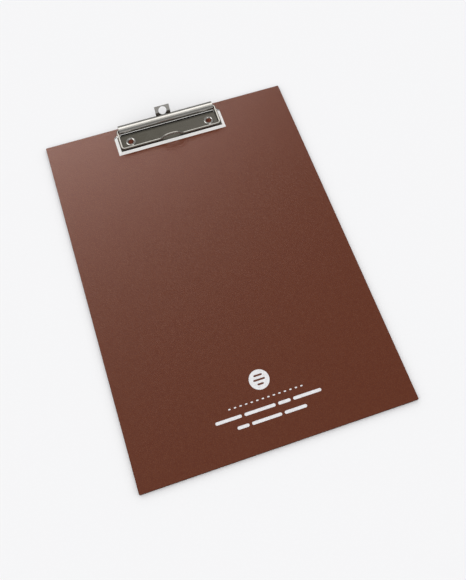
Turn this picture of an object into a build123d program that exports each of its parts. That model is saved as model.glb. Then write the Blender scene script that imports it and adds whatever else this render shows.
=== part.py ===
"""A4 clipboard: a leatherette-covered board with a sprung wire clip and a hanging tab.

Frame: the origin is the middle of the board's underside, +X runs across the board,
+Y runs along it towards the clip and +Z points up out of the writing face.
"""
import os
from math import cos, hypot, radians, sin

from build123d import *

# ---------------------------------------------------------------- driving sizes (mm)
BOARD_WIDTH = 222.0
BOARD_LENGTH = 315.0
BOARD_THICKNESS = 3.0
BOARD_CORNER = 0.8
TOP_EDGE_ROUND = 0.45
COVER_THICKNESS = 0.5
LINING_THICKNESS = 0.3
TURN_IN = 12.0
LINING_MARGIN = 3.0

CLIP_WIDTH = 100.0
CLIP_DEPTH = 28.9
SHEET = 0.75
PLATE_TOP = BOARD_THICKNESS + 2.0
SIDE_SKIRT = 2.7
FRONT_SKIRT = 1.8
SKIRT_BEND = 0.4
REAR_NOTCH = 9.0

BARREL_LENGTH = 88.2
BARREL_RADIUS = 4.0
BARREL_SETBACK = 5.6
BARREL_CLEARANCE = 0.1
RAMP_RUN = 2.6
PLATE_LAP = 2.0
LIP_DROP = 0.6
LIP_BEND = 0.6
LIP_ANGLE = 65.0
LIP_LENGTH = 0.3

WIRE = 2.2
BAIL_HALF_WIDTH = 45.7
BAIL_REACH = 19.5
BAIL_BEND = 2.4
BAIL_INNER_END = 9.5
HUMP_HALF_BASE = 10.6
HUMP_HALF_TOP = 4.6
HUMP_HEIGHT = 4.0
HUMP_FOOT_BEND = 4.0
HUMP_CROWN_BEND = 11.0

EYELET_SPACING = 73.2
EYELET_SETBACK = 19.0
EYELET_BORE = 4.7
EYELET_SHANK = 5.7
EYELET_FLANGE = 9.4
EYELET_DOME = 1.1
EYELET_MOUTH = 0.3
EYELET_RIM = 0.15
EYELET_CLINCH = 7.8
CLINCH_DEPTH = 0.5
CLINCH_TAPER = 0.3
WASHER_DIAMETER = 10.0
WASHER_THICKNESS = 0.4
POCKET_DIAMETER = 11.0
POCKET_DEPTH = 1.2

TAB_WIDTH = 13.6
TAB_SHEET = 0.8
TAB_LENGTH = 11.4
TAB_ANGLE = 55.0
TAB_HOLE = 7.4
TAB_HOLE_REACH = 6.9
TAB_RUNNING_CLEARANCE = 0.08
TAB_OFFSET = -0.9
CURL_SWEEP = 250.0
SLOT_SIDE_CLEARANCE = 1.4
SLOT_TOP_ANGLE = 37.0
SLOT_BOTTOM_ANGLE = -76.0

SPRING_WIRE = 1.4
SPRING_MEAN_RADIUS = 2.4
SPRING_PITCH = 1.6
SPRING_TURNS = 12
SPRING_INNER_END = 14.0

# ---------------------------------------------------------------- derived places
BACK_EDGE = BOARD_LENGTH / 2
BARREL_Y = BACK_EDGE - BARREL_SETBACK
BARREL_Z = BOARD_THICKNESS + BARREL_CLEARANCE + BARREL_RADIUS
BARREL_BORE_RADIUS = BARREL_RADIUS - SHEET
CLIP_FRONT = BACK_EDGE - CLIP_DEPTH
EYELET_Y = BACK_EDGE - EYELET_SETBACK
EYELET_PLACES = {"left": -EYELET_SPACING / 2, "right": EYELET_SPACING / 2}
SIDES = {"left": -1, "right": 1}
CORE_BOTTOM = LINING_THICKNESS + COVER_THICKNESS
CORE_TOP = BOARD_THICKNESS - COVER_THICKNESS
BARREL_PLANE = Plane(origin=(0, BARREL_Y, BARREL_Z), x_dir=(0, 1, 0), z_dir=(1, 0, 0))

os.makedirs("parts", exist_ok=True)


def save(part, name):
    """Label one finished piece and write it to its own STEP file."""
    part.label = name
    export_step(part, f"parts/{name}.step")


def polar(radius, angle):
    """A point of the barrel's cross-section, measured from +Y up towards +Z."""
    return (radius * cos(radians(angle)), radius * sin(radians(angle)))


# ---------------------------------------------------------------- the board
with BuildPart() as front_cover:
    with BuildSketch(Plane.XY.offset(LINING_THICKNESS)):
        RectangleRounded(BOARD_WIDTH, BOARD_LENGTH, BOARD_CORNER)
    extrude(amount=BOARD_THICKNESS - LINING_THICKNESS)
    fillet(front_cover.edges().group_by(Axis.Z)[-1], TOP_EDGE_ROUND)
    fillet(front_cover.edges().group_by(Axis.Z)[0], TOP_EDGE_ROUND)
    with BuildSketch(Plane.XY.offset(CORE_BOTTOM)):
        RectangleRounded(
            BOARD_WIDTH - 2 * COVER_THICKNESS,
            BOARD_LENGTH - 2 * COVER_THICKNESS,
            BOARD_CORNER - COVER_THICKNESS,
        )
    extrude(amount=CORE_TOP - CORE_BOTTOM, mode=Mode.SUBTRACT)
    with BuildSketch(Plane.XY.offset(LINING_THICKNESS)):
        Rectangle(BOARD_WIDTH - 2 * TURN_IN, BOARD_LENGTH - 2 * TURN_IN)
    extrude(amount=COVER_THICKNESS, mode=Mode.SUBTRACT)
    with BuildSketch(Plane.XY.offset(CORE_TOP)):
        with Locations(*[(x, EYELET_Y) for x in EYELET_PLACES.values()]):
            Circle(EYELET_SHANK / 2)
    extrude(amount=COVER_THICKNESS, mode=Mode.SUBTRACT)
save(front_cover.part, "front_cover")

# The core is pressed thinner round its rim, where the cover is turned in under it.
with BuildPart() as core_board:
    with BuildSketch(Plane.XY.offset(CORE_BOTTOM)):
        RectangleRounded(
            BOARD_WIDTH - 2 * COVER_THICKNESS,
            BOARD_LENGTH - 2 * COVER_THICKNESS,
            BOARD_CORNER - COVER_THICKNESS,
        )
    extrude(amount=CORE_TOP - CORE_BOTTOM)
    with BuildSketch(Plane.XY.offset(LINING_THICKNESS)):
        Rectangle(BOARD_WIDTH - 2 * TURN_IN, BOARD_LENGTH - 2 * TURN_IN)
    extrude(amount=COVER_THICKNESS)
    with BuildSketch(Plane.XY.offset(LINING_THICKNESS)):
        with Locations(*[(x, EYELET_Y) for x in EYELET_PLACES.values()]):
            Circle(POCKET_DIAMETER / 2)
    extrude(amount=POCKET_DEPTH, mode=Mode.SUBTRACT)
    with BuildSketch(Plane.XY.offset(LINING_THICKNESS)):
        with Locations(*[(x, EYELET_Y) for x in EYELET_PLACES.values()]):
            Circle(EYELET_SHANK / 2)
    extrude(amount=CORE_TOP - LINING_THICKNESS, mode=Mode.SUBTRACT)
save(core_board.part, "core_board")

with BuildPart() as back_lining:
    with BuildSketch():
        RectangleRounded(
            BOARD_WIDTH - 2 * LINING_MARGIN,
            BOARD_LENGTH - 2 * LINING_MARGIN,
            BOARD_CORNER,
        )
    extrude(amount=LINING_THICKNESS)
save(back_lining.part, "back_lining")


# ---------------------------------------------------------------- the clip's sheet plate
def plate_outline(side_inset, front_inset):
    """The tray's outline at one height: square at the back, drawn in at the skirts."""
    front = CLIP_FRONT + front_inset
    back = BACK_EDGE - REAR_NOTCH
    with Locations((0, (front + back) / 2)):
        Rectangle(CLIP_WIDTH - 2 * side_inset, back - front)


skirt_rise = PLATE_TOP - BOARD_THICKNESS
hollow_rise = skirt_rise - SHEET
side_foot = SHEET * hypot(SIDE_SKIRT, skirt_rise) / skirt_rise
front_foot = SHEET * hypot(FRONT_SKIRT, skirt_rise) / skirt_rise
hollow_share = hollow_rise / skirt_rise

# The barrel's section, walked along the middle of the sheet from the plate's back edge:
# down a soft step, under the barrel, up its back, over the top and down to the lip.
middle_radius = BARREL_RADIUS - SHEET / 2
plate_middle = PLATE_TOP - SHEET / 2 - BARREL_Z
ramp_drop = plate_middle + middle_radius
ramp_start = -middle_radius - LIP_LENGTH - LIP_BEND
seat_start = ramp_start + RAMP_RUN
plate_join = ramp_start - PLATE_LAP
lip_heading = 270.0 - LIP_ANGLE
lip_centre = (-middle_radius - LIP_BEND, -LIP_DROP)
lip_bend_end = (
    lip_centre[0] + LIP_BEND * cos(radians(LIP_ANGLE)),
    lip_centre[1] - LIP_BEND * sin(radians(LIP_ANGLE)),
)
lip_end = (
    lip_bend_end[0] + LIP_LENGTH * cos(radians(lip_heading)),
    lip_bend_end[1] + LIP_LENGTH * sin(radians(lip_heading)),
)

with BuildPart() as clip_plate:
    with BuildSketch(Plane.XY.offset(BOARD_THICKNESS)):
        plate_outline(0, 0)
    with BuildSketch(Plane.XY.offset(PLATE_TOP)):
        plate_outline(SIDE_SKIRT, FRONT_SKIRT)
    loft()
    top_rim = clip_plate.edges().group_by(Axis.Z)[-1].sort_by(Axis.Y)[:-1]
    fillet(top_rim, SKIRT_BEND)
    with BuildSketch(Plane.XY.offset(BOARD_THICKNESS)):
        plate_outline(side_foot, front_foot)
    with BuildSketch(Plane.XY.offset(PLATE_TOP - SHEET)):
        plate_outline(
            side_foot + SIDE_SKIRT * hollow_share,
            front_foot + FRONT_SKIRT * hollow_share,
        )
    loft(mode=Mode.SUBTRACT)
    with BuildSketch(BARREL_PLANE):
        with BuildLine():
            Line((plate_join, plate_middle), (ramp_start, plate_middle))
            ramp = TangentArc(
                (ramp_start, plate_middle),
                (ramp_start + RAMP_RUN / 2, plate_middle - ramp_drop / 2),
                tangent=(1, 0),
            )
            TangentArc(ramp @ 1, (seat_start, -middle_radius), tangent=ramp % 1)
            Line((seat_start, -middle_radius), (0, -middle_radius))
            CenterArc((0, 0), middle_radius, -90, 270)
            Line((-middle_radius, 0), (-middle_radius, -LIP_DROP))
            CenterArc(lip_centre, LIP_BEND, 0, -LIP_ANGLE)
            Line(lip_bend_end, lip_end)
        trace(line_width=SHEET)
    extrude(amount=BARREL_LENGTH / 2, both=True)
    with BuildSketch(Plane.XY.offset(PLATE_TOP - SHEET)):
        with Locations(*[(x, EYELET_Y) for x in EYELET_PLACES.values()]):
            Circle(EYELET_SHANK / 2)
    extrude(amount=SHEET, mode=Mode.SUBTRACT)
    # The slot in the barrel's back that lets the hanging tab swing and slide a little.
    with BuildSketch(BARREL_PLANE):
        with BuildLine():
            slot_arc = CenterArc(
                (0, 0),
                BARREL_RADIUS + SHEET,
                SLOT_BOTTOM_ANGLE,
                SLOT_TOP_ANGLE - SLOT_BOTTOM_ANGLE,
            )
            Line(slot_arc @ 1, (0, 0))
            Line((0, 0), slot_arc @ 0)
        make_face()
    extrude(amount=TAB_WIDTH / 2 + SLOT_SIDE_CLEARANCE, both=True, mode=Mode.SUBTRACT)
save(clip_plate.part, "clip_plate")

# ---------------------------------------------------------------- eyelets and their washers
pocket_top = LINING_THICKNESS + POCKET_DEPTH
washer_bottom = pocket_top - WASHER_THICKNESS
clinch_bottom = washer_bottom - CLINCH_DEPTH
shell = (EYELET_SHANK - EYELET_BORE) / 2

bore = EYELET_BORE / 2
shank = EYELET_SHANK / 2
flange = EYELET_FLANGE / 2
clinch = EYELET_CLINCH / 2
crown = PLATE_TOP + EYELET_DOME
mouth = PLATE_TOP + EYELET_MOUTH
rim = PLATE_TOP + EYELET_RIM

for side, x in EYELET_PLACES.items():
    with BuildPart() as eyelet:
        with BuildSketch(Plane(origin=(x, EYELET_Y, 0), x_dir=(1, 0, 0), z_dir=(0, -1, 0))):
            with BuildLine():
                Line((bore, clinch_bottom + shell), (bore, mouth))
                ThreePointArc((bore, mouth), ((bore + flange) / 2, crown), (flange, rim))
                Polyline(
                    (flange, rim),
                    (flange, PLATE_TOP),
                    (shank, PLATE_TOP),
                    (shank, washer_bottom),
                    (clinch, washer_bottom),
                    (clinch - CLINCH_TAPER, clinch_bottom),
                    (bore + shell, clinch_bottom),
                    (bore, clinch_bottom + shell),
                )
            make_face()
        revolve(axis=Axis((x, EYELET_Y, 0), (0, 0, 1)))
    save(eyelet.part, f"eyelet_{side}")

    with BuildPart() as washer:
        with BuildSketch(Plane.XY.offset(washer_bottom)):
            with Locations((x, EYELET_Y)):
                Circle(WASHER_DIAMETER / 2)
                Circle(EYELET_SHANK / 2, mode=Mode.SUBTRACT)
        extrude(amount=WASHER_THICKNESS)
    save(washer.part, f"washer_{side}")

# ---------------------------------------------------------------- the wire bail
BAIL_FRONT_Y = BARREL_Y - BAIL_REACH
BAIL_FRONT_Z = PLATE_TOP + WIRE / 2
bail_half = [
    (BAIL_INNER_END, BARREL_Y, BARREL_Z),
    (BAIL_HALF_WIDTH, BARREL_Y, BARREL_Z),
    (BAIL_HALF_WIDTH, BAIL_FRONT_Y, BAIL_FRONT_Z),
    (HUMP_HALF_BASE, BAIL_FRONT_Y, BAIL_FRONT_Z),
    (HUMP_HALF_TOP, BAIL_FRONT_Y, BAIL_FRONT_Z + HUMP_HEIGHT),
]
bail_route = bail_half + [(-x, y, z) for x, y, z in reversed(bail_half)]
half_bends = [BAIL_BEND, BAIL_BEND, HUMP_FOOT_BEND, HUMP_CROWN_BEND]
bail_bends = half_bends + list(reversed(half_bends))

with BuildPart() as wire_bail:
    with BuildLine():
        FilletPolyline(*bail_route, radius=bail_bends)
    with BuildSketch(Plane(origin=bail_route[0], z_dir=(1, 0, 0))):
        Circle(WIRE / 2)
    sweep()
save(wire_bail.part, "wire_bail")

# ---------------------------------------------------------------- springs in the barrel
for side, way in SIDES.items():
    with BuildPart() as spring:
        with BuildLine():
            coil = Helix(
                SPRING_PITCH,
                SPRING_PITCH * SPRING_TURNS,
                SPRING_MEAN_RADIUS,
                center=(SPRING_INNER_END * way, BARREL_Y, BARREL_Z),
                direction=(way, 0, 0),
                lefthand=way < 0,
            )
        with BuildSketch(Plane(origin=coil @ 0, z_dir=coil % 0)):
            Circle(SPRING_WIRE / 2)
        sweep(path=coil, is_frenet=True)
    save(spring.part, f"spring_{side}")

# ---------------------------------------------------------------- the hanging tab
curl_radius = BARREL_BORE_RADIUS - TAB_RUNNING_CLEARANCE - TAB_SHEET / 2
tangent_angle = TAB_ANGLE - 90.0
tangent_point = polar(curl_radius, tangent_angle)
tab_direction = polar(1.0, TAB_ANGLE)
tab_end = (
    tangent_point[0] + TAB_LENGTH * tab_direction[0],
    tangent_point[1] + TAB_LENGTH * tab_direction[1],
)
hanger_plane = BARREL_PLANE.offset(TAB_OFFSET)
tab_foot = hanger_plane.from_local_coords((*tangent_point, 0))
tab_face = Plane(origin=tab_foot, x_dir=(-1, 0, 0), z_dir=tab_foot - hanger_plane.origin)

# The tab lies a little to the left, in the play that its slot leaves it.
with BuildPart() as hanger:
    with BuildSketch(hanger_plane):
        with BuildLine():
            CenterArc((0, 0), curl_radius, tangent_angle, -CURL_SWEEP)
            Line(tangent_point, tab_end)
        trace(line_width=TAB_SHEET)
    extrude(amount=TAB_WIDTH / 2, both=True)
    with BuildSketch(tab_face):
        with Locations((0, TAB_HOLE_REACH)):
            Circle(TAB_HOLE / 2)
    extrude(amount=TAB_SHEET, both=True, mode=Mode.SUBTRACT)
save(hanger.part, "hanger")
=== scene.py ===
"""A4 clipboard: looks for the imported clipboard, in metres, in its own frame.

+X runs across the board, +Y along it towards the clip and +Z up out of the writing face.
"""
from math import cos, pi, radians, sin

import bmesh
import bpy
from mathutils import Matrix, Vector


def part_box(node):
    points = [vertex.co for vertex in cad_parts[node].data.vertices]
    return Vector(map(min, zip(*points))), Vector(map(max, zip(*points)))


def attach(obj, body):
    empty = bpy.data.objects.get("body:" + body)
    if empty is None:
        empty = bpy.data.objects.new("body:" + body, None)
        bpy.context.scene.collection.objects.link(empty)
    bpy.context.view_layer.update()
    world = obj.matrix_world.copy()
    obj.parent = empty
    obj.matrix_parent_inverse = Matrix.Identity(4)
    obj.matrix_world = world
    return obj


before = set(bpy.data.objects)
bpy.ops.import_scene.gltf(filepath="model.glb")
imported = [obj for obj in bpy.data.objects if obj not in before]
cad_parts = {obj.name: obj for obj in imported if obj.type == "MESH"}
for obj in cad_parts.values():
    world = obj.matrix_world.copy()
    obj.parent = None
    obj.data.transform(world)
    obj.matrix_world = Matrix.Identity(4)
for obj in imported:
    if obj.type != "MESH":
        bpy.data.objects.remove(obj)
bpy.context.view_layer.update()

MM = 0.001

# ---------------------------------------------------------------- sizes and places
FACE_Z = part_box("front_cover")[1][2]
PLATE_LOW, PLATE_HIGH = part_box("clip_plate")
PLATE_RISE = 2.0 * MM
BARREL_DEPTH = 8.0 * MM
BARREL_END = 44.2 * MM
PLATE_TOP = FACE_Z + PLATE_RISE
BARREL_FRONT = PLATE_HIGH[1] - BARREL_DEPTH

# The photograph's view: nearly down on the face, a little from the left and from below.
VIEW_AZIMUTH = radians(18.56)
VIEW_ELEVATION = radians(67.49)
VIEW_DISTANCE = 536.4 * MM
VIEW_AIM = Vector((4.7 * MM, -26.5 * MM, FACE_Z))
LENS = 40.7
SENSOR_WIDTH = 36.0
NEAREST = 0.01

# The generic print on the lower part of the face: a disc with three slots, and plain bars.
MARK_CENTRE = (0.0, -104.0 * MM)
MARK_RADIUS = 8.1 * MM
MARK_SLOT_HEIGHT = 1.5 * MM
MARK_SLOT_PITCH = 3.6 * MM
MARK_SLOT_LENGTHS = (7.0 * MM, 9.6 * MM, 5.2 * MM)
DASH_Y = -119.0 * MM
DASH_SIZE = (1.9 * MM, 1.0 * MM)
DASH_PITCH = 4.5 * MM
DASH_COUNT = 14
BAR_HEIGHT = 2.5 * MM
BAR_GAP = 2.2 * MM
UPPER_BARS = (-126.4 * MM, (21.0 * MM, 25.0 * MM, 10.0 * MM, 23.0 * MM))
LOWER_BARS = (-134.6 * MM, (9.5 * MM, 24.0 * MM, 18.0 * MM))
FILM_THICKNESS = 0.04 * MM
FILM_SINK = 0.01 * MM
DISC_SEGMENTS = 96
END_SEGMENTS = 12

# Heights between which the cover's dark edge goes over into its face, and the lining's
# back into its much lighter top, which is painted light where it shows at the bottom of the
# eyelets.
COVER_LEVEL = (FACE_Z - 0.50 * MM, FACE_Z - 0.10 * MM)
LINING_LEVEL = (0.10 * MM, 0.25 * MM)

# Heights between which the hanging tab goes from the painted dark reflection at its foot to its
# bright nickel.
TAB_FOOT_DARK_LEVEL = (FACE_Z + 7.4 * MM, FACE_Z + 8.2 * MM)
# On the clip plate: heights where the skirts' bend ends, lengths along Y where the flat ends,
# the height and length where the painted shade of the gap under the lip ends, and where the lip's
# painted highlight ends.
BEND_LEVEL = (PLATE_TOP - 0.04 * MM, PLATE_TOP - 0.01 * MM)
FLAT_BACK = (BARREL_FRONT - 1.2 * MM, BARREL_FRONT - 0.9 * MM)
GAP_LEVEL = (PLATE_TOP + 0.20 * MM, PLATE_TOP + 0.30 * MM)
GAP_BACK = (BARREL_FRONT + 1.8 * MM, BARREL_FRONT + 2.0 * MM)
GAP_END = (BARREL_END - 0.1 * MM, BARREL_END)
LIP_HIGHLIGHT_BACK = (BARREL_FRONT + 0.45 * MM, BARREL_FRONT + 0.80 * MM)

# Colours, as linear red, green and blue. A pair is what a noise blends between.
COVER_EDGE = ((0.030, 0.006, 0.002), (0.080, 0.016, 0.004))
COVER_FACE = ((0.099, 0.015, 0.0015), (0.122, 0.025, 0.0040))
COVER_SHEEN = (1.0, 0.83, 0.76)
LINING_BACK = ((0.070, 0.016, 0.006), (0.105, 0.028, 0.013))
# The lining's top is much lighter than its back: painted light at the bottom of the eyelets'
# bores, which lie in shade.
LINING_TOP_PAINTED_LIGHT = ((0.52, 0.16, 0.10), (0.62, 0.20, 0.13))
PAPER_BOARD = ((0.20, 0.18, 0.16), (0.36, 0.34, 0.31))
EYELET_NICKEL = ((0.62, 0.60, 0.56), (0.70, 0.68, 0.64))
WIRE_NICKEL = ((0.42, 0.40, 0.36), (0.50, 0.48, 0.44))
STEEL = ((0.24, 0.23, 0.22), (0.34, 0.33, 0.32))
BARREL_NICKEL = ((0.54, 0.52, 0.48), (0.60, 0.58, 0.54))
# The lip's near-white is a painted highlight along the barrel's front.
LIP_PAINTED_HIGHLIGHT = (0.98, 0.97, 0.94)
# The skirts' near-white is a painted reflection of bright surroundings, not a different plating.
SKIRT_PAINTED_REFLECTION = (0.96, 0.96, 0.94)
GAP_SHADE = (0.05, 0.047, 0.04)
# The flat's dark colour is a painted dark reflection, lighter towards +X; the sheet is the same
# nickel as the barrel.
FLAT_PAINTED_REFLECTION = ((0.056, 0.051, 0.039), (0.066, 0.061, 0.048))
FLAT_RIGHT_PAINTED_REFLECTION = (0.074, 0.068, 0.056)
TAB_NICKEL = ((0.84, 0.81, 0.76), (0.94, 0.91, 0.86))
# The tab's dark foot is a painted dark reflection of the barrel's back.
TAB_FOOT_PAINTED_REFLECTION = (0.16, 0.14, 0.12)
PRINT_INK = ((0.62, 0.60, 0.60), (0.84, 0.84, 0.86))
FLOOR_PAPER = ((0.90, 0.90, 0.91), (0.92, 0.92, 0.93))
WALL_PAINT = (0.92, 0.92, 0.93)
BLACK = (0.0, 0.0, 0.0)

# Light: an even room, a wide ceiling light for matt surfaces, and panels for gloss.
ROOM_LIGHT = 0.30
CEILING_LIGHT = 2.25
CEILING_SPREAD = 150.0
PANEL_DISTANCE = 1.5
# Watts per square metre of an area light with a radiance of 1.
PANEL_FACTOR = pi
# The CAD nodes that a panel's light is kept to.
LIT_GROUPS = {
    "board_group": ("front_cover", "core_board", "back_lining"),
    "bright_group": ("clip_plate", "wire_bail", "hanger"),
    "clip_group": ("clip_plate", "wire_bail"),
    "eyelet_group": ("eyelet_left", "eyelet_right"),
}
# Each panel: name, group, azimuth and elevation in degrees, width, height, radiance.
PANELS = (
    ("back_panel", "bright_group", 0.0, 57.0, 2.6, 0.84, 1.45),
    ("upper_panel", "clip_group", 0.0, 81.0, 2.6, 0.52, 0.95),
    ("front_panel", "clip_group", 180.0, 75.0, 2.6, 0.40, 0.60),
    ("eyelet_back_panel", "eyelet_group", -50.0, 52.0, 0.9, 0.9, 1.9),
    ("eyelet_front_panel", "eyelet_group", 150.0, 62.0, 0.8, 0.7, 1.3),
    ("board_panel", "board_group", -17.0, 31.0, 1.8, 0.6, 10.4),
)
FLOOR_SIZE = 12.0
WALL_RADIUS = 5.5
WALL_HEIGHT = 8.0
WALL_SEGMENTS = 96


# ---------------------------------------------------------------- node helpers
class Nodes:
    """A material's node tree, with short calls to add and join nodes."""

    def __init__(self, name):
        self.material = bpy.data.materials.new(name)
        self.material.use_nodes = True
        self.tree = self.material.node_tree
        self.shader = self.tree.nodes["Principled BSDF"]

    def add(self, kind, **settings):
        node = self.tree.nodes.new(kind)
        for key, value in settings.items():
            setattr(node, key, value)
        return node

    def join(self, source, target):
        self.tree.links.new(source, target)

    def place(self):
        """The object's own coordinates, which are the CAD frame in metres."""
        return self.add("ShaderNodeTexCoord").outputs["Object"]

    def noise(self, where, scale, detail=3.0, roughness=0.55):
        node = self.add("ShaderNodeTexNoise")
        node.inputs["Scale"].default_value = scale
        node.inputs["Detail"].default_value = detail
        node.inputs["Roughness"].default_value = roughness
        self.join(where, node.inputs["Vector"])
        return node.outputs["Fac"]

    def cells(self, where, scale, feature="F1"):
        node = self.add("ShaderNodeTexVoronoi", feature=feature)
        node.inputs["Scale"].default_value = scale
        self.join(where, node.inputs["Vector"])
        return node.outputs["Distance"]

    def warp(self, where, scale, amount):
        """The same coordinates, shifted a little this way and that."""
        node = self.add("ShaderNodeTexNoise")
        node.inputs["Scale"].default_value = scale
        self.join(where, node.inputs["Vector"])
        centred = self.add("ShaderNodeVectorMath", operation="SUBTRACT")
        centred.inputs[1].default_value = (0.5, 0.5, 0.5)
        self.join(node.outputs["Color"], centred.inputs[0])
        shift = self.add("ShaderNodeVectorMath", operation="MULTIPLY_ADD")
        shift.inputs[1].default_value = (amount, amount, amount)
        self.join(centred.outputs["Vector"], shift.inputs[0])
        self.join(where, shift.inputs[2])
        return shift.outputs["Vector"]

    def ramp(self, value, low, high):
        """Map a value from low..high to 0..1, smoothly and held at both ends."""
        node = self.add("ShaderNodeMapRange", interpolation_type="SMOOTHSTEP")
        node.inputs["From Min"].default_value = low
        node.inputs["From Max"].default_value = high
        self.join(value, node.inputs["Value"])
        return node.outputs["Result"]

    def spread(self, value, low, high):
        """Map a 0..1 value to low..high."""
        node = self.add("ShaderNodeMapRange")
        node.inputs["To Min"].default_value = low
        node.inputs["To Max"].default_value = high
        self.join(value, node.inputs["Value"])
        return node.outputs["Result"]

    def maths(self, operation, first, second):
        node = self.add("ShaderNodeMath", operation=operation)
        for socket, value in zip(node.inputs, (first, second)):
            if isinstance(value, (int, float)):
                socket.default_value = value
            else:
                self.join(value, socket)
        return node.outputs["Value"]

    def below(self, value, limits):
        """1 under the lower limit, 0 over the upper one."""
        return self.flip(self.ramp(value, *limits))

    def flip(self, value):
        return self.maths("SUBTRACT", 1.0, value)

    def times(self, first, second):
        return self.maths("MULTIPLY", first, second)

    def plus(self, first, second):
        return self.maths("ADD", first, second)

    def colour(self, value):
        self.join(value, self.shader.inputs["Base Color"])

    def rough(self, value):
        self.join(value, self.shader.inputs["Roughness"])

    def blend(self, factor, first, second):
        """Mix two colours; each is a tuple or a colour output."""
        node = self.add("ShaderNodeMix", data_type="RGBA")
        self.join(factor, node.inputs["Factor"])
        for socket, value in ((node.inputs["A"], first), (node.inputs["B"], second)):
            if isinstance(value, tuple):
                socket.default_value = (*value, 1.0)
            else:
                self.join(value, socket)
        return node.outputs["Result"]

    def axis(self, where, letter):
        node = self.add("ShaderNodeSeparateXYZ")
        self.join(where, node.inputs["Vector"])
        return node.outputs[letter]

    def bump(self, height, strength, distance):
        node = self.add("ShaderNodeBump")
        node.inputs["Strength"].default_value = strength
        node.inputs["Distance"].default_value = distance
        self.join(height, node.inputs["Height"])
        self.join(node.outputs["Normal"], self.shader.inputs["Normal"])

    def set(self, **values):
        names = {"metallic": "Metallic", "specular": "Specular IOR Level"}
        for key, value in values.items():
            self.shader.inputs[names[key]].default_value = value


# ---------------------------------------------------------------- materials
def leatherette(name, lower, upper, level, rough_low, rough_high, grain=0.5):
    """Embossed leatherette: close pebbles with creases darkened as painted shade, fine pores, a
    soft sheen.

    lower and upper are pairs of a crease colour, which is painted shade in the creases, and a
    pebble colour, and level gives the two heights between which the lower pair turns into the
    upper one.
    """
    m = Nodes(name)
    where = m.place()
    bent = m.warp(where, 420.0, 0.9 * MM)
    crease = m.cells(bent, 760.0, feature="DISTANCE_TO_EDGE")
    pebble = m.ramp(crease, 0.0, 0.30)
    pore = m.noise(where, 4200.0, detail=2.0)
    cloud = m.noise(where, 300.0, detail=3.0)
    # The tone is painted shade in the creases, mixed with random cloudy tone of the grain.
    tone = m.plus(m.times(pebble, 0.65), m.times(cloud, 0.35))
    grain_tone = m.ramp(tone, 0.10, 1.0)
    height = m.ramp(m.axis(where, "Z"), *level)
    m.colour(m.blend(height, m.blend(grain_tone, *lower), m.blend(grain_tone, *upper)))
    m.rough(m.spread(m.ramp(cloud, 0.3, 0.7), rough_low, rough_high))
    m.bump(m.plus(pebble, m.times(pore, 0.3)), grain, 0.06 * MM)
    m.set(specular=0.5)
    m.shader.inputs["Specular Tint"].default_value = (*COVER_SHEEN, 1.0)
    return m.material


def greyboard(name):
    """Pressed paper board: grey, flecked with darker and paler fibres."""
    m = Nodes(name)
    where = m.place()
    fleck = m.noise(where, 900.0, detail=6.0, roughness=0.7)
    layer = m.noise(where, 120.0, detail=2.0)
    tone = m.times(m.plus(fleck, layer), 0.5)
    m.colour(m.blend(m.ramp(tone, 0.35, 0.65), *PAPER_BOARD))
    m.rough(m.spread(fleck, 0.75, 0.95))
    m.bump(fleck, 0.5, 0.08 * MM)
    return m.material


def metal(name, tones, rough_low, rough_high, brush=(1.0, 1.0, 1.0)):
    """Plated metal with faint draw lines, small scratches and cloudy tarnish."""
    m = Nodes(name)
    where = m.place()
    stretch = m.add("ShaderNodeMapping")
    stretch.inputs["Scale"].default_value = brush
    m.join(where, stretch.inputs["Vector"])
    lines = m.noise(stretch.outputs["Vector"], 2600.0, detail=4.0)
    cloud = m.noise(where, 130.0, detail=4.0)
    m.colour(m.blend(m.ramp(cloud, 0.3, 0.7), *tones))
    wear = m.plus(m.times(lines, 0.5), m.times(cloud, 0.5))
    m.rough(m.spread(m.ramp(wear, 0.35, 0.65), rough_low, rough_high))
    m.bump(lines, 0.12, 0.01 * MM)
    m.set(metallic=1.0)
    return m.material


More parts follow.
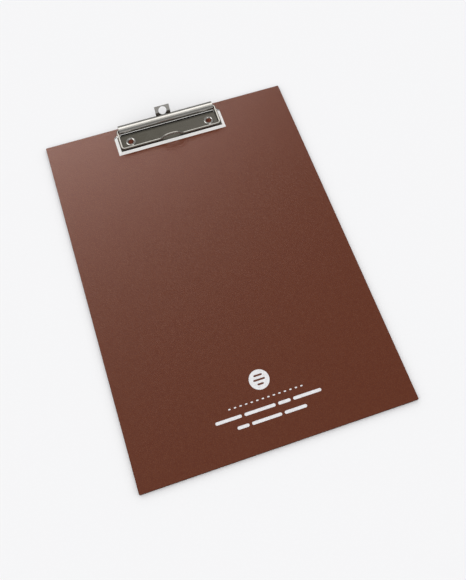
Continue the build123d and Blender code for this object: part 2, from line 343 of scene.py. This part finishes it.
def clip_finish(name):
    """The pressed sheet: a flat painted dark as a painted reflection, skirts painted pale as a
    painted reflection, a lip with a painted highlight and painted shade under it, a bright
    barrel.

    Each finish, painted light included, has its place on the sheet, in the object's own
    coordinates.
    """
    m = Nodes(name)
    where = m.place()
    height = m.axis(where, "Z")
    along = m.axis(where, "Y")
    across = m.axis(where, "X")
    stretch = m.add("ShaderNodeMapping")
    stretch.inputs["Scale"].default_value = (0.06, 1.0, 1.0)
    m.join(where, stretch.inputs["Vector"])
    lines = m.noise(stretch.outputs["Vector"], 1600.0, detail=3.0)
    cloud = m.noise(where, 120.0, detail=4.0)
    below = m.below(height, BEND_LEVEL)
    in_front = m.below(along, FLAT_BACK)
    # pale marks the skirts, painted near-white and almost matt as a painted reflection.
    pale = m.times(below, in_front)
    # painted_dark_flat marks the flat, painted dark as a painted reflection.
    painted_dark_flat = m.times(m.flip(below), in_front)
    low = m.below(height, GAP_LEVEL)
    near = m.below(along, GAP_BACK)
    between_ends = m.below(m.maths("ABSOLUTE", across, 0.0), GAP_END)
    # under_lip marks the strip under the lip, where GAP_SHADE is painted shade.
    under_lip = m.times(m.times(m.times(low, near), m.flip(in_front)), between_ends)
    nickel = m.blend(m.ramp(cloud, 0.3, 0.7), *BARREL_NICKEL)
    # The lip in front of the barrel is painted near-white as a painted highlight.
    nickel = m.blend(m.below(along, LIP_HIGHLIGHT_BACK), nickel, LIP_PAINTED_HIGHLIGHT)
    nickel = m.blend(under_lip, nickel, GAP_SHADE)
    # tarnish here is the flat's painted dark reflection, with random cloudy tone, lighter towards
    # +X.
    tarnish = m.blend(m.ramp(cloud, 0.3, 0.7), *FLAT_PAINTED_REFLECTION)
    tarnish = m.blend(m.ramp(across, PLATE_LOW[0], PLATE_HIGH[0]), tarnish, FLAT_RIGHT_PAINTED_REFLECTION)
    m.colour(m.blend(pale, m.blend(painted_dark_flat, nickel, tarnish), SKIRT_PAINTED_REFLECTION))
    rough = m.plus(m.times(lines, 0.06), m.times(painted_dark_flat, 0.12))
    m.rough(m.plus(m.plus(rough, m.times(pale, 0.25)), 0.13))
    # The skirts' painted reflection is almost matt; the painted dark flat is a little matt too.
    matt = m.plus(m.times(pale, 0.95), m.times(painted_dark_flat, 0.25))
    m.join(m.flip(matt), m.shader.inputs["Metallic"])
    m.bump(lines, 0.06, 0.01 * MM)
    return m.material


def tab_finish(name):
    """The hanging tab: bright nickel, painted dark at its foot as a painted dark reflection of
    the barrel.
    """
    m = Nodes(name)
    where = m.place()
    height = m.axis(where, "Z")
    cloud = m.noise(where, 260.0, detail=4.0)
    # Below this wavy line the tab is painted dark as a painted reflection of the barrel's dark
    # back.
    painted_dark_line = m.plus(height, m.times(cloud, 0.6 * MM))
    above_dark_foot = m.ramp(painted_dark_line, *TAB_FOOT_DARK_LEVEL)
    bright = m.blend(m.ramp(cloud, 0.3, 0.7), *TAB_NICKEL)
    m.colour(m.blend(above_dark_foot, TAB_FOOT_PAINTED_REFLECTION, bright))
    m.rough(m.spread(cloud, 0.12, 0.24))
    m.bump(m.noise(where, 2600.0), 0.08, 0.01 * MM)
    m.set(metallic=1.0)
    return m.material


def ink(name):
    """Pale screen-printed ink, a little uneven where it sank into the grain."""
    m = Nodes(name)
    where = m.place()
    break_up = m.noise(where, 1500.0, detail=3.0)
    m.colour(m.blend(m.ramp(break_up, 0.25, 0.6), *PRINT_INK))
    m.rough(m.spread(break_up, 0.45, 0.65))
    m.bump(break_up, 0.2, 0.02 * MM)
    return m.material


def floor_finish(name):
    """Plain pale paper floor with the faintest fibre."""
    m = Nodes(name)
    fibre = m.noise(m.place(), 500.0, detail=3.0)
    m.colour(m.blend(fibre, *FLOOR_PAPER))
    m.rough(m.spread(fibre, 0.85, 0.95))
    m.set(specular=0.0)
    return m.material


def assign(material, *node_names):
    """Give a CAD node its material, in every slot that it has."""
    for node_name in node_names:
        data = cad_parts[node_name].data
        if not data.materials:
            data.materials.append(material)
        for slot in range(len(data.materials)):
            data.materials[slot] = material


def finish_cad_nodes():
    cover = leatherette("leatherette", COVER_EDGE, COVER_FACE, COVER_LEVEL, 0.41, 0.45)
    # The lining's upper colour is painted light where its top shows through the eyelets.
    lining = leatherette("lining", LINING_BACK, LINING_TOP_PAINTED_LIGHT, LINING_LEVEL, 0.60, 0.75, grain=0.3)
    nickel = metal("nickel", EYELET_NICKEL, 0.07, 0.14)
    wire = metal("bright_wire", WIRE_NICKEL, 0.16, 0.24, brush=(0.05, 1.0, 1.0))
    steel = metal("plain_steel", STEEL, 0.30, 0.45)
    assign(cover, "front_cover")
    assign(lining, "back_lining")
    assign(greyboard("greyboard"), "core_board")
    assign(clip_finish("clip_nickel"), "clip_plate")
    assign(nickel, "eyelet_left", "eyelet_right")
    assign(tab_finish("tab_nickel"), "hanger")
    assign(wire, "wire_bail")
    assign(steel, "washer_left", "washer_right", "spring_left", "spring_right")


# ---------------------------------------------------------------- the print on the face
def arc(centre, radius, start, sweep, segments):
    """Points along an arc; angles in radians, measured from +X towards +Y."""
    points = []
    for step in range(segments + 1):
        angle = start + sweep * step / segments
        points.append((centre[0] + radius * cos(angle), centre[1] + radius * sin(angle)))
    return points


def disc(centre, radius):
    return arc(centre, radius, 0.0, 2.0 * pi, DISC_SEGMENTS)[:-1]


def bar(centre, length, height):
    """A bar with round ends, lying along X."""
    radius = height / 2
    reach = length / 2 - radius
    right = arc((centre[0] + reach, centre[1]), radius, -pi / 2, pi, END_SEGMENTS)
    left = arc((centre[0] - reach, centre[1]), radius, pi / 2, pi, END_SEGMENTS)
    return right + left


def film(name, outlines, material):
    """A thin closed film on the face; an outline inside another one is a hole in it."""
    curve = bpy.data.curves.new(name, "CURVE")
    curve.dimensions = "2D"
    curve.fill_mode = "BOTH"
    curve.extrude = FILM_THICKNESS / 2
    for outline in outlines:
        spline = curve.splines.new("POLY")
        spline.points.add(len(outline) - 1)
        spline.use_cyclic_u = True
        for point, (x, y) in zip(spline.points, outline):
            point.co = (x, y, 0.0, 1.0)
    drawn = bpy.data.objects.new(name + "_outline", curve)
    mesh = bpy.data.meshes.new_from_object(drawn)
    bpy.data.objects.remove(drawn)
    bpy.data.curves.remove(curve)
    welded = bmesh.new()
    welded.from_mesh(mesh)
    bmesh.ops.remove_doubles(welded, verts=welded.verts, dist=FILM_THICKNESS / 10)
    bmesh.ops.recalc_face_normals(welded, faces=welded.faces)
    height = FACE_Z + FILM_THICKNESS / 2 - FILM_SINK
    bmesh.ops.translate(welded, verts=welded.verts, vec=(0.0, 0.0, height))
    welded.to_mesh(mesh)
    welded.free()
    mesh.name = name
    mesh.materials.clear()
    mesh.materials.append(material)
    piece = bpy.data.objects.new(name, mesh)
    bpy.context.collection.objects.link(piece)
    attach(piece, "board")


def bar_row(y, lengths):
    """A centred row of bars with even gaps."""
    x = -(sum(lengths) + BAR_GAP * (len(lengths) - 1)) / 2
    outlines = []
    for length in lengths:
        outlines.append(bar((MARK_CENTRE[0] + x + length / 2, y), length, BAR_HEIGHT))
        x += length + BAR_GAP
    return outlines


def print_face():
    white = ink("print_ink")
    mark = [disc(MARK_CENTRE, MARK_RADIUS)]
    for row, length in enumerate(MARK_SLOT_LENGTHS):
        slot_y = MARK_CENTRE[1] + MARK_SLOT_PITCH * (1 - row)
        mark.append(bar((MARK_CENTRE[0], slot_y), length, MARK_SLOT_HEIGHT))
    film("printed_mark", mark, white)
    dashes = []
    for step in range(DASH_COUNT):
        x = MARK_CENTRE[0] + DASH_PITCH * (step - (DASH_COUNT - 1) / 2)
        dashes.append(bar((x, DASH_Y), *DASH_SIZE))
    film("printed_dashes", dashes, white)
    film("printed_bars", bar_row(*UPPER_BARS) + bar_row(*LOWER_BARS), white)


# ---------------------------------------------------------------- camera, floor and light
def make_camera():
    data = bpy.data.cameras.new("camera")
    data.lens = LENS
    data.sensor_width = SENSOR_WIDTH
    data.clip_start = NEAREST
    camera = bpy.data.objects.new("camera", data)
    bpy.context.collection.objects.link(camera)
    level = VIEW_DISTANCE * cos(VIEW_ELEVATION)
    back = Vector((
        -level * sin(VIEW_AZIMUTH),
        -level * cos(VIEW_AZIMUTH),
        VIEW_DISTANCE * sin(VIEW_ELEVATION),
    ))
    camera.location = VIEW_AIM + back
    camera.rotation_euler = (-back).to_track_quat("-Z", "Y").to_euler()
    bpy.context.scene.camera = camera


def make_floor():
    bpy.ops.mesh.primitive_plane_add(size=FLOOR_SIZE)
    floor = bpy.context.object
    floor.name = "floor"
    floor.data.materials.append(floor_finish("floor_paper"))
    floor.visible_glossy = False


def make_wall():
    """A plain pale wall round the floor, seen by the camera alone: it adds no light."""
    mesh = bpy.data.meshes.new("studio_wall")
    ring = bmesh.new()
    circle = arc((0.0, 0.0), WALL_RADIUS, 0.0, 2.0 * pi, WALL_SEGMENTS)[:-1]
    feet = [ring.verts.new((x, y, 0.0)) for x, y in circle]
    heads = [ring.verts.new((foot.co.x, foot.co.y, WALL_HEIGHT)) for foot in feet]
    for step in range(WALL_SEGMENTS):
        after = (step + 1) % WALL_SEGMENTS
        ring.faces.new((feet[step], feet[after], heads[after], heads[step]))
    ring.to_mesh(mesh)
    ring.free()
    m = Nodes("wall_paint")
    m.shader.inputs["Base Color"].default_value = (*BLACK, 1.0)
    m.set(specular=0.0)
    m.shader.inputs["Emission Color"].default_value = (*WALL_PAINT, 1.0)
    m.shader.inputs["Emission Strength"].default_value = 1.0
    mesh.materials.append(m.material)
    wall = bpy.data.objects.new("studio_wall", mesh)
    bpy.context.collection.objects.link(wall)
    wall.visible_diffuse = False
    wall.visible_glossy = False
    wall.visible_shadow = False


def aim_light(name, data, azimuth, elevation, distance):
    """Place a light that looks at the clip from a direction; azimuth 0 is along +Y."""
    light = bpy.data.objects.new(name, data)
    bpy.context.collection.objects.link(light)
    level = distance * cos(radians(elevation))
    where = Vector((
        level * sin(radians(azimuth)),
        level * cos(radians(azimuth)),
        distance * sin(radians(elevation)),
    ))
    light.location = where
    light.rotation_euler = (-where).to_track_quat("-Z", "Y").to_euler()
    return light


def lit_group(name, node_names):
    """A named group of CAD nodes that a light can be kept to."""
    group = bpy.data.collections.new(name)
    for node_name in node_names:
        group.objects.link(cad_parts[node_name])
    return group


def softbox(name, group, azimuth, elevation, width, height, radiance):
    """A studio panel that shows as gloss on one group; the ceiling gives the even light."""
    data = bpy.data.lights.new(name, "AREA")
    data.shape = "RECTANGLE"
    data.size = width
    data.size_y = height
    data.energy = radiance * PANEL_FACTOR * width * height
    panel = aim_light(name, data, azimuth, elevation, PANEL_DISTANCE)
    panel.visible_diffuse = False
    panel.light_linking.receiver_collection = group


def make_light():
    """The room, the ceiling and the panels; the panels only show as gloss."""
    world = bpy.data.worlds.new("studio")
    bpy.context.scene.world = world
    world.use_nodes = True
    background = world.node_tree.nodes["Background"]
    background.inputs["Color"].default_value = (1.0, 1.0, 1.0, 1.0)
    background.inputs["Strength"].default_value = ROOM_LIGHT
    ceiling = bpy.data.lights.new("ceiling", "SUN")
    ceiling.energy = CEILING_LIGHT
    ceiling.angle = radians(CEILING_SPREAD)
    aim_light("ceiling", ceiling, 0.0, 90.0, PANEL_DISTANCE).visible_glossy = False
    groups = {name: lit_group(name, nodes) for name, nodes in LIT_GROUPS.items()}
    for name, group, *sizes in PANELS:
        softbox(name, groups[group], *sizes)


def main():
    finish_cad_nodes()
    print_face()
    make_camera()
    make_floor()
    make_wall()
    make_light()
    scene = bpy.context.scene
    scene.view_settings.view_transform = "Standard"
    scene.view_settings.look = "None"


main()
